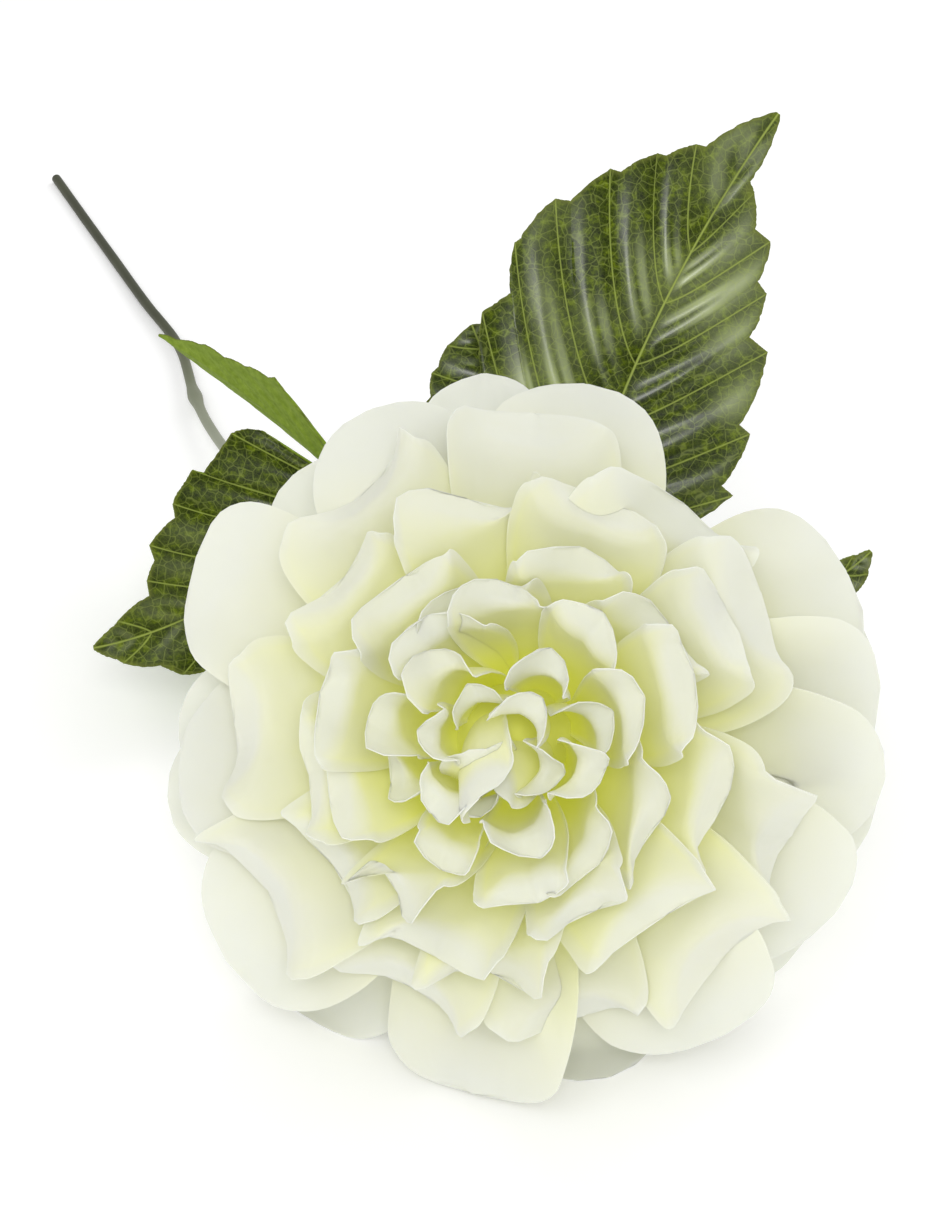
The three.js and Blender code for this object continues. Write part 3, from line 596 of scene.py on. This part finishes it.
def calyx_blades(name, ring, material):
    """A ring of small pointed blades, grown from the cup by a tree that turns one about the axis."""
    tree, given, result = new_tree(name, [
        ("Blade", "Geometry"), ("Count", "Int"), ("Turn", "Float"), ("Plastic", "Material")], "Ring")
    line = add(tree, "GeometryNodeMeshLine", {"Count": given.outputs["Count"], "Offset": (0, 0, 0)})
    number = add(tree, "GeometryNodeInputIndex")
    share = calc(tree, "DIVIDE", number, given.outputs["Count"])
    angle = calc(tree, "MULTIPLY_ADD", share, 2 * math.pi, given.outputs["Turn"])
    turn = add(tree, "ShaderNodeCombineXYZ", [0.0, 0.0, angle])
    size = add(tree, "FunctionNodeRandomValue", {"Min": (0.94, 0.9, 0.9), "Max": (1.05, 1.1, 1.1), "Seed": 4},
               data_type="FLOAT_VECTOR")
    laid = add(tree, "GeometryNodeInstanceOnPoints", {
        "Points": line, "Instance": given.outputs["Blade"], "Rotation": turn, "Scale": size})
    laid = add(tree, "GeometryNodeTransform", {
        "Geometry": laid, "Translation": CENTRE, "Rotation": TO_FACE.to_euler()})
    laid = add(tree, "GeometryNodeRealizeInstances", [laid])
    laid = add(tree, "GeometryNodeSetMaterial", {"Geometry": laid, "Material": given.outputs["Plastic"]})
    tree.links.new(laid.outputs[0], result.inputs[0])

    s = np.linspace(0, 1, 15)
    lean = np.radians(ring["root"] + (ring["tip"] - ring["root"]) * s / 2)
    reach = ring["radius"] + np.sin(lean) * ring["length"] * s - BLADE_SINK
    out = ring["depth"] + np.cos(lean) * ring["length"] * s
    half = ring["width"] / 2 * np.maximum(0.06, 1.15 * np.clip(1 - s ** 1.6, 0, 1) ** 0.8 * (0.75 + 0.5 * s))
    t = np.linspace(-1, 1, 9)
    sideways = half[:, None] * t[None, :]
    grid = np.stack([np.broadcast_to(reach[:, None], sideways.shape), sideways,
                     out[:, None] - 0.05 * sideways ** 2 + 0.25 * (1 - np.abs(t))[None, :] ** 4], axis=2)
    points, faces = closed_sheet(grid * MM, BLADE_SHEET)
    blade = bpy.data.meshes.new(name + "_blade")
    blade.from_pydata(points, [], faces)
    return grown(name, blade, tree, {"Count": ring["count"], "Turn": math.radians(ring["turn"]),
                                     "Plastic": material})


cup = turned("calyx_cup", CALYX_PROFILE, 48, MOULDED_GREEN)
finished(cup, "stem_plastic", "calyx")
for name, ring in (("sepals", SEPALS), ("bracts", BRACTS)):
    finished(calyx_blades(name, ring, MOULDED_GREEN), "stem_plastic", "calyx")


# The stem: a wire in a sleeve of grey-green plastic, 3.2 mm thick, bent at the neck, with one
# swollen node where it kinks. It lies on the table at its cut end.
STEM_RADIUS = 1.6 * MM
STEM_POINTS = [(6.2, 47, 24.5), (-1, 76, 15), (-22, 108, 10), (-54, 146, 8.2), (-81, 180, 7.6),
               (-92, 202, 6.2), (-98.5, 221, 5), (-106.5, 252, 3.4), (-120.5, 280.5, 2.4),
               (-134, 309, 1.7), (-147.5, 337, 1.4), (-161, 365, 1.4)]
NODE_AT = np.array(STEM_POINTS[6]) * MM + PLAN
NODE_LENGTH = 4.2 * MM
NECK_END = -26.3 * MM
NECK_STRAIGHT = 5 * MM


def smooth_path(points, steps):
    """Points along the centripetal curve through these, as many for each stretch."""
    points = np.asarray(points, float)
    points = np.vstack([2 * points[0] - points[1], points, 2 * points[-1] - points[-2]])
    path = []
    for a, b, c, d in zip(points, points[1:], points[2:], points[3:]):
        ab, bc, cd = (np.linalg.norm(q - p) ** 0.5 for p, q in ((a, b), (b, c), (c, d)))
        start = ((b - a) / ab - (c - a) / (ab + bc) + (c - b) / bc) * bc
        end = ((c - b) / bc - (d - b) / (bc + cd) + (d - c) / cd) * bc
        for k in range(steps):
            u = k / steps
            path.append(b + start * u + (3 * (c - b) - 2 * start - end) * u ** 2
                        + (2 * (b - c) + start + end) * u ** 3)
    path.append(points[-2])
    return np.array(path)


def stalk_tree():
    """A round sleeve swept along a line of points, swollen at one place and slightly uneven."""
    tree, given, result = new_tree("Stalk", [
        ("Line", "Geometry"), ("Radius", "Float"), ("Swelling at", "Vector"), ("Swelling", "Float"),
        ("Swelling length", "Float"), ("Unevenness", "Float"), ("Sides", "Int"), ("Sleeve", "Material")],
        "Stalk")
    curve = add(tree, "GeometryNodeMeshToCurve", {"Mesh": given.outputs["Line"]})
    place = add(tree, "GeometryNodeInputPosition")
    gap = add(tree, "ShaderNodeVectorMath", [place, given.outputs["Swelling at"]], operation="DISTANCE")
    near = calc(tree, "DIVIDE", gap.outputs["Value"], given.outputs["Swelling length"])
    near = calc(tree, "MULTIPLY", near, near)
    near = calc(tree, "MULTIPLY", near, -1.0)
    near = calc(tree, "EXPONENT", near)
    swollen = calc(tree, "MULTIPLY_ADD", near, given.outputs["Swelling"], 1.0)
    noise = noise_at(tree, place, 60.0, 2.0)
    noise = calc(tree, "SUBTRACT", noise, 0.5)
    uneven = calc(tree, "MULTIPLY_ADD", noise, given.outputs["Unevenness"], swollen)
    radius = calc(tree, "MULTIPLY", uneven, given.outputs["Radius"])
    ring = add(tree, "GeometryNodeCurvePrimitiveCircle", {
        "Resolution": given.outputs["Sides"], "Radius": 1.0})
    tube = add(tree, "GeometryNodeCurveToMesh", {
        "Curve": curve, "Profile Curve": ring.outputs["Curve"], "Scale": radius, "Fill Caps": True})
    tube = add(tree, "GeometryNodeRealizeInstances", [tube])
    tube = add(tree, "GeometryNodeSetMaterial", {"Geometry": tube, "Material": given.outputs["Sleeve"]})
    tree.links.new(tube.outputs[0], result.inputs[0])
    return tree


def stem_sleeve():
    """Extruded plastic sleeve, grey green with paler and browner stretches and fine drawn lines."""
    material, tree, shader = new_material("Extruded grey-green sleeve", Roughness=0.55, IOR=1.5)
    place = add(tree, "ShaderNodeTexCoord").outputs["Object"]
    stretch = noise_at(tree, place, 26.0, 3.0)
    split = add(tree, "ShaderNodeSeparateXYZ", [place])
    darker = mapped(tree, split.outputs[1], 0.045, 0.12, 0.62, 0.0)
    shade = calc(tree, "MULTIPLY_ADD", stretch, 0.5, darker)
    colour = ramp(tree, shade, [(0.15, "#2f3120"), (0.35, "#4a4d37"), (0.6, "#70755d"), (0.95, "#a4a896")])
    tree.links.new(colour.outputs[0], shader.inputs["Base Color"])
    drawn = noise_at(tree, place, 700.0, 2.0)
    bump = add(tree, "ShaderNodeBump", {"Strength": 0.25, "Distance": 0.15 * MM, "Height": drawn})
    tree.links.new(bump.outputs[0], shader.inputs["Normal"])
    return material


STALK_TREE = stalk_tree()
STEM_SLEEVE = stem_sleeve()


def stalk(name, path, radius, swelling, uneven, sides, material):
    line = bpy.data.meshes.new(name + "_line")
    line.from_pydata([tuple(p) for p in path], [(i, i + 1) for i in range(len(path) - 1)], [])
    return grown(name, line, STALK_TREE, {
        "Radius": radius, "Swelling at": tuple(NODE_AT), "Swelling": swelling,
        "Swelling length": NODE_LENGTH, "Unevenness": uneven, "Sides": sides, "Sleeve": material})


neck = np.array(CENTRE + FACE * NECK_END)
stem_points = [neck, neck - np.array(FACE) * NECK_STRAIGHT]
stem_points += [np.array(p) * MM + PLAN for p in STEM_POINTS]
stem = stalk("stem_sleeve", smooth_path(stem_points, 9), STEM_RADIUS, 0.5, 0.1, 20, STEM_SLEEVE)
for vertex in stem.data.vertices:
    vertex.co.z = max(vertex.co.z, 0.0)
finished(stem, "stem_plastic", "stem")


# The leaves: two sprays of toothed leaflets in green polyester cloth, printed with a yellow
# net of veins, glazed on top and pressed in a hot mould so that it bulges between the veins.
LEAF_SHEET = 0.5 * MM
PETIOLE_RADIUS = 1.25 * MM
ROOT_CROWDING = 2.4
# A margin lists a leaflet side's teeth from base to tip, each with the notch after it, as shares
# of the length along and across. All but SMALL hold points that scratch programs measured.
BROAD_LEFT = [(0.06, 0.19), (0.09, 0.2), (0.22, 0.27), (0.25, 0.268), (0.372, 0.328), (0.427, 0.29),
              (0.51, 0.326), (0.522, 0.32), (0.615, 0.295), (0.626, 0.264), (0.716, 0.226), (0.722, 0.204),
              (0.79, 0.162), (0.796, 0.144), (0.849, 0.103), (0.856, 0.085)]
BROAD_RIGHT = [(0.02, 0.13), (0.04, 0.12), (0.112, 0.223), (0.125, 0.2), (0.229, 0.277), (0.24, 0.25),
               (0.369, 0.264), (0.378, 0.239), (0.55, 0.228), (0.561, 0.182), (0.662, 0.172), (0.676, 0.145),
               (0.764, 0.128), (0.77, 0.089), (0.835, 0.049), (0.85, 0.03)]
SIDE_UPPER = [(0.03, 0.14), (0.04, 0.18), (0.076, 0.357), (0.11, 0.392), (0.165, 0.415), (0.343, 0.368),
              (0.367, 0.396), (0.44, 0.37), (0.509, 0.337), (0.528, 0.296), (0.675, 0.253), (0.68, 0.205),
              (0.739, 0.154), (0.75, 0.11), (0.894, 0.064), (0.91, 0.054)]
SIDE_LOWER = [(0.04, 0.12), (0.06, 0.11), (0.14, 0.2), (0.16, 0.185), (0.26, 0.25), (0.28, 0.23),
              (0.39, 0.265), (0.41, 0.245), (0.52, 0.245), (0.54, 0.22), (0.64, 0.205), (0.66, 0.18),
              (0.747, 0.16), (0.8, 0.109), (0.915, 0.066), (0.93, 0.05)]
SMALL = [(0.03, 0.16), (0.05, 0.15), (0.15, 0.25), (0.17, 0.235), (0.3, 0.29), (0.32, 0.265),
         (0.45, 0.29), (0.47, 0.265), (0.6, 0.26), (0.62, 0.235), (0.73, 0.225), (0.75, 0.2),
         (0.85, 0.17), (0.865, 0.145), (0.945, 0.095), (0.955, 0.07)]
CURLED_LEFT = [(0.03, 0.06), (0.05, 0.055), (0.15, 0.12), (0.17, 0.11), (0.28, 0.2), (0.3, 0.19),
               (0.384, 0.266), (0.42, 0.225), (0.509, 0.2), (0.54, 0.175), (0.62, 0.148), (0.65, 0.128),
               (0.745, 0.125), (0.78, 0.098), (0.87, 0.055), (0.91, 0.03)]
# A leaflet's last value is how much painted sheen, a pale silvery green standing in for reflection, its
# colour takes.
SPRAYS = [
    dict(node="leaf_spray_upper", petiole=[(0, 73, 15.5), (4, 66, 34), (8, 57, 55), (10, 52, 72)], leaflets=[
        dict(base=(10.5, 52, 73), tip=(62.5, 124.9, 153.4), bow=(-4.5, 1, 2.5), turn=6, fold=0.12,
             right=BROAD_RIGHT, left=BROAD_LEFT, width=(1, 1), painted_sheen_share=1),
        dict(base=(10, 53, 72), tip=(-12.3, 95.5, 111.5), bow=(-1, 2, 2), turn=-8, fold=0.2,
             right=SMALL, left=SMALL, width=(1, 1.25), painted_sheen_share=0.2),
        dict(base=(10, 52, 71), tip=(84, 52.5, 74.5), bow=(6, -5, -11), turn=14, fold=0.3,
             right=SMALL, left=SMALL, width=(0.5, 0.35), painted_sheen_share=0.2),
    ]),
    dict(node="leaf_spray_left", petiole=[(-34, 123, 9.2), (-36, 122, 20), (-40, 121, 32), (-43, 121, 41)],
         leaflets=[
        dict(base=(-43.5, 120.5, 41), tip=(-110.2, 71.9, 27.8), bow=(0, -5, -5), turn=0, fold=0.12,
             right=SIDE_UPPER, left=SIDE_LOWER, width=(1, 1), painted_sheen_share=0.15),
        dict(base=(-43, 121, 41.5), tip=(-100.3, 171.3, 59.8), bow=(0, 2, 2), turn=103, fold=0.16,
             right=SMALL, left=CURLED_LEFT, width=(0.8, 1), painted_sheen_share=0.2),
    ]),
]


def leaf_cloth():
    """Glazed polyester leaf cloth: dark olive print with fine yellow-green veins, paler below. The
    glaze is thickest, and shines most, on the pleats that the mould presses between the veins.
    Where it is thick, a pale painted sheen is mixed into the colour in patches, by as much as each leaflet's
    share of painted sheen allows."""
    material, tree, shader = new_material("Glazed printed leaf cloth", IOR=1.6)
    place = add(tree, "ShaderNodeTexCoord").outputs["Object"]
    rib, vein, edge, under, glaze, painted_sheen_share = (
        carried(tree, name) for name in ("rib", "vein", "edge", "under", "glaze", "painted_sheen_share"))
    wobble = noise_at(tree, place, 320.0, 2.0)
    warped = add(tree, "ShaderNodeVectorMath", {0: wobble.outputs["Color"], "Scale": 1.0 * MM},
                 operation="SCALE")
    warped = add(tree, "ShaderNodeVectorMath", [place, warped.outputs[0]], operation="ADD")
    net = add(tree, "ShaderNodeTexVoronoi", {"Vector": warped, "Scale": 360.0}, feature="DISTANCE_TO_EDGE")
    net = mapped(tree, net, 0.01, 0.06, 0.3, 0.0)
    fine = add(tree, "ShaderNodeTexVoronoi", {"Vector": warped, "Scale": 1100.0}, feature="DISTANCE_TO_EDGE")
    fine = mapped(tree, fine, 0.02, 0.12, 0.08, 0.0)
    rib_line = mapped(tree, rib, 0.15 * MM, 0.45 * MM, 0.9, 0.0)
    vein_line = mapped(tree, vein, 0.08 * MM, 0.28 * MM, 0.7, 0.0)
    lines = calc(tree, "MAXIMUM", rib_line, vein_line)
    lines = calc(tree, "MAXIMUM", lines, net)
    lines = calc(tree, "MAXIMUM", lines, fine)
    mottle = add(tree, "ShaderNodeTexNoise", {
        "Vector": place, "Scale": 460.0, "Detail": 5.0, "Roughness": 0.7})
    green = ramp(tree, mottle, [(0.34, "#1a2400"), (0.52, "#323f00"), (0.68, "#627208")])
    # Painted sheen: pale silvery green patches on the glazed pleats, painted into the colour in place of the
    # glaze's reflection.
    painted_sheen = noise_at(tree, place, 26.0, 1.0)
    painted_sheen = mapped(tree, painted_sheen, 0.44, 0.6)
    painted_sheen_streak = mapped(tree, glaze, 0.0, 0.7, 0.2, 0.95)
    painted_sheen = calc(tree, "MULTIPLY", painted_sheen, painted_sheen_streak)
    painted_sheen = calc(tree, "MULTIPLY", painted_sheen, painted_sheen_share)
    green = add(tree, "ShaderNodeMix", {0: painted_sheen, 6: green, 7: linear("#a2ad7a")}, data_type="RGBA")
    green = green.outputs[2]
    printed = add(tree, "ShaderNodeMix", {0: lines, 6: green, 7: linear("#9aa851")}, data_type="RGBA")
    rim = mapped(tree, edge, 0.0, 0.7 * MM, 0.7, 0.0)
    top = add(tree, "ShaderNodeMix", {0: rim, 6: printed.outputs[2], 7: linear("#6d7534")}, data_type="RGBA")
    below = ramp(tree, mottle, [(0.3, "#6a8024"), (0.6, "#829836"), (0.8, "#9aac52")])
    colour = add(tree, "ShaderNodeMix", {0: under, 6: top.outputs[2], 7: below}, data_type="RGBA")
    tree.links.new(colour.outputs[2], shader.inputs["Base Color"])
    rough = calc(tree, "MULTIPLY_ADD", under, 0.25, 0.4)
    rough = calc(tree, "MULTIPLY_ADD", mottle, 0.1, rough)
    tree.links.new(rough.outputs[0], shader.inputs["Roughness"])
    above = calc(tree, "SUBTRACT", 1.0, under)
    shine = calc(tree, "MULTIPLY", glaze, above)
    tree.links.new(shine.outputs[0], shader.inputs["Coat Weight"])
    shader.inputs["Coat Roughness"].default_value = 0.26
    shader.inputs["Coat IOR"].default_value = 1.65
    shader.inputs["Specular IOR Level"].default_value = 0.06
    height = calc(tree, "MULTIPLY", lines, -0.6)
    bump = add(tree, "ShaderNodeBump", {"Strength": 0.3, "Distance": 0.25 * MM, "Height": height})
    tree.links.new(bump.outputs[0], shader.inputs["Normal"])
    return material


LEAF_CLOTH = leaf_cloth()
LEAF_GRID = (14, 29)
EDGE_BULGE = 0.055
PUFF = 1.2 * MM
PLEAT = 0.22 * MM
PLEATS = 3
FRAY = 0.003
GROOVE_DEPTH = 0.35 * MM
GROOVE_WIDTH = 1.2 * MM
FULL_LENGTH = 0.12
LEAF_FACING = Vector((0, -0.776, 0.63))
fray_draws = draws(3307)


def leaf_edge(points, level):
    """One side's edge at each level: convex from a notch to the next tooth, and a little frayed."""
    whole = np.arange(len(points))
    along, across = (np.interp(level, whole, points[:, k]) for k in (0, 1))
    first = np.minimum(level.astype(int), len(points) - 2)
    chord = np.hypot(*(points[first + 1] - points[first]).T)
    bulge = np.where(first % 2 == 0, EDGE_BULGE * chord * np.sin(np.pi * (level - first)), 0)
    fray = np.array([next(fray_draws) - 0.5 for _ in level]) * FRAY
    return along[:, None], np.maximum(0.004, across + bulge + fray)[:, None]


def between_veins(flat, level):
    """How far each point lies from one side vein to the next, and its distance from the nearest."""
    step = np.linalg.norm(np.diff(flat, axis=0), axis=2)
    travelled = np.vstack([np.zeros(flat.shape[1]), np.cumsum(step, axis=0)])
    teeth = np.nonzero((level % 2 == 1))[0]
    lengthwise, crosswise = np.gradient(flat, axis=0), np.gradient(flat, axis=1)
    slant = np.linalg.norm(np.cross(lengthwise, crosswise), axis=2)
    slant /= np.linalg.norm(lengthwise, axis=2) * np.linalg.norm(crosswise, axis=2) + 1e-12
    share, distance = np.zeros_like(travelled), np.zeros_like(travelled)
    for k, column in enumerate(travelled.T):
        share[:, k] = np.interp(column, column[teeth], np.arange(len(teeth)))
        distance[:, k] = np.abs(column[:, None] - column[teeth]).min(axis=1) * slant[:, k]
    return share, distance


def leaflet(name, spec):
    """One pressed leaflet: rows of points run from the midrib to the edge along its side veins."""
    start, end = (np.array(spec[key]) * MM + PLAN for key in ("base", "tip"))
    control = (start + end) / 2 + 2 * MM * np.array(spec["bow"])
    length = np.linalg.norm(end - start)
    heading = (end - start) / length
    facing = np.array(Matrix.Rotation(math.radians(spec["turn"]), 3, Vector(heading)) @ LEAF_FACING)
    edges = [np.array([(0, 0.02), *((along, across * width) for along, across in side), (1, 0.006)])
             for side, width in zip((spec["right"], spec["left"]), spec["width"])]
    last = len(edges[0]) - 1
    roots = (edges[0][:, 0] / 2 + edges[1][:, 0] / 2) ** ROOT_CROWDING
    level = np.arange(last * LEAF_GRID[0] + 1) / LEAF_GRID[0]
    root = np.interp(level, range(last + 1), roots)[:, None]
    t = np.linspace(0, 1, LEAF_GRID[1])[None, :]
    halves, facts = [], []
    for side, sign in ((0, 1), (1, -1)):
        along, across = leaf_edge(edges[side], level)
        s = np.minimum(1, root + (along - root) * t ** 1.3)[..., None]
        spine = (1 - s) ** 2 * start + 2 * s * (1 - s) * control + s ** 2 * end
        tangent = 2 * (1 - s) * (control - start) + 2 * s * (end - control)
        tangent /= np.linalg.norm(tangent, axis=2, keepdims=True)
        normal = facing - (tangent @ facing)[..., None] * tangent
        normal /= np.linalg.norm(normal, axis=2, keepdims=True)
        sideways = np.cross(tangent, normal)
        reach = across * t * length
        flat = spine + sign * sideways * reach[..., None]
        share, vein = between_veins(flat, level)
        size = np.minimum(1, across * 4) * length / FULL_LENGTH
        puff = np.sin(np.pi * share) ** 2 * (t * (1 - t) * 4) ** 0.7
        pleated = np.clip((t - 0.04) * 8, 0, 1)
        pleats = np.cos(2 * np.pi * PLEATS * share) * pleated * np.clip((0.75 - t) * 3, 0, 1)
        groove = GROOVE_DEPTH * np.exp(-(reach / GROOVE_WIDTH) ** 2)
        lift = spec["fold"] * reach + size * (PUFF * puff + PLEAT * pleats) - groove
        halves.append(flat + normal * lift[..., None])
        glaze = np.clip(pleats * 0.5 + 0.5, 0, 1) * np.clip(puff * 1.6, 0, 1)
        facts.append((reach, vein, across * (1 - t) * length, glaze))
    grid = np.concatenate([halves[0][:, ::-1], halves[1][:, 1:]], axis=1)
    grid[..., 2] = np.maximum(grid[..., 2], LEAF_SHEET)
    points, faces = closed_sheet(grid, LEAF_SHEET)
    mesh = bpy.data.meshes.new(name)
    mesh.from_pydata(points, [], faces)
    for label, right, left in zip(("rib", "vein", "edge", "glaze"), *facts):
        values = np.concatenate([right[:, ::-1], left[:, 1:]], axis=1).ravel()
        carry(mesh, label, np.tile(values, 2))
    upper = (np.cross(np.gradient(grid, axis=0), np.gradient(grid, axis=1)) @ facing).mean() > 0
    under = np.repeat([0.0, 1.0] if upper else [1.0, 0.0], len(points) // 2)
    carry(mesh, "under", under)
    # How much painted sheen this leaflet's colour takes.
    carry(mesh, "painted_sheen_share", [spec["painted_sheen_share"]] * len(points))
    mesh.materials.append(LEAF_CLOTH)
    return in_scene(name, mesh)


for spray in SPRAYS:
    for number, spec in enumerate(spray["leaflets"], 1):
        finished(leaflet(f"{spray['node']}_leaflet_{number}", spec), "leaf_fabric", spray["node"])
    path = smooth_path([np.array(p) * MM + PLAN for p in spray["petiole"]], 12)
    stalk_piece = stalk(f"{spray['node']}_petiole", path, PETIOLE_RADIUS, 0, 0.12, 12, MOULDED_GREEN)
    finished(stalk_piece, "leaf_fabric", spray["node"])


# The table: a plain pale surface, large enough to fill every view. Its faint light of its own
# brings it near the photo's white.
FLOOR_HALF = 6


def pale_floor():
    material, tree, shader = new_material("Pale matt laminate", Roughness=0.8, Emission_Strength=0.1)
    place = add(tree, "ShaderNodeTexCoord").outputs["Object"]
    cloud = noise_at(tree, place, 3.0, 2.0)
    colour = ramp(tree, cloud, [(0.3, "#fdfdfd"), (0.7, "#ffffff")])
    tree.links.new(colour.outputs[0], shader.inputs["Base Color"])
    return material


floor_mesh = bpy.data.meshes.new("floor")
floor_mesh.from_pydata([(x * FLOOR_HALF, y * FLOOR_HALF, 0) for x, y in ((-1, -1), (1, -1), (1, 1), (-1, 1))],
                       [], [(0, 1, 2, 3)])
floor_mesh.materials.append(pale_floor())
floor = in_scene("floor", floor_mesh)


# The light: a bright even room, with one large soft lamp behind the camera, one to its left and
# one beyond the flower.
ROOM_LIGHT = 0.64
world = bpy.context.scene.world or bpy.data.worlds.new("studio")
bpy.context.scene.world = world
world.use_nodes = True
world.node_tree.nodes["Background"].inputs[0].default_value = (1.0, 1.0, 1.0, 1.0)
world.node_tree.nodes["Background"].inputs[1].default_value = ROOM_LIGHT
bpy.context.scene.view_settings.view_transform = "Standard"


def soft_lamp(name, place, size, power):
    lamp = bpy.data.lights.new(name, "AREA")
    lamp.size = size
    lamp.energy = power
    piece = in_scene(name, lamp)
    piece.location = place
    piece.rotation_euler = (CENTRE - Vector(place)).to_track_quat("-Z", "Y").to_euler()


soft_lamp("key_lamp", (-0.45, -0.75, 1.2), size=0.6, power=2)
soft_lamp("front_lamp", (0.1, -1.9, 1.95), size=1.1, power=23)
soft_lamp("back_lamp", (0.7, 0.8, 0.9), size=0.7, power=3.4)


# The camera: above the table's near side, looking down at 39 degrees with a 73 mm lens.
CAMERA_AT = Vector(PLAN) + Vector((-12.7, -416.1, 437.6)) * MM
CAMERA_PITCH = 39.08
CAMERA_LENS = 72.84
camera = bpy.data.cameras.new("camera")
camera.lens = CAMERA_LENS
camera_piece = in_scene("camera", camera)
camera_piece.location = CAMERA_AT
camera_piece.rotation_euler = (math.radians(90 - CAMERA_PITCH), 0, 0)
bpy.context.scene.camera = camera_piece
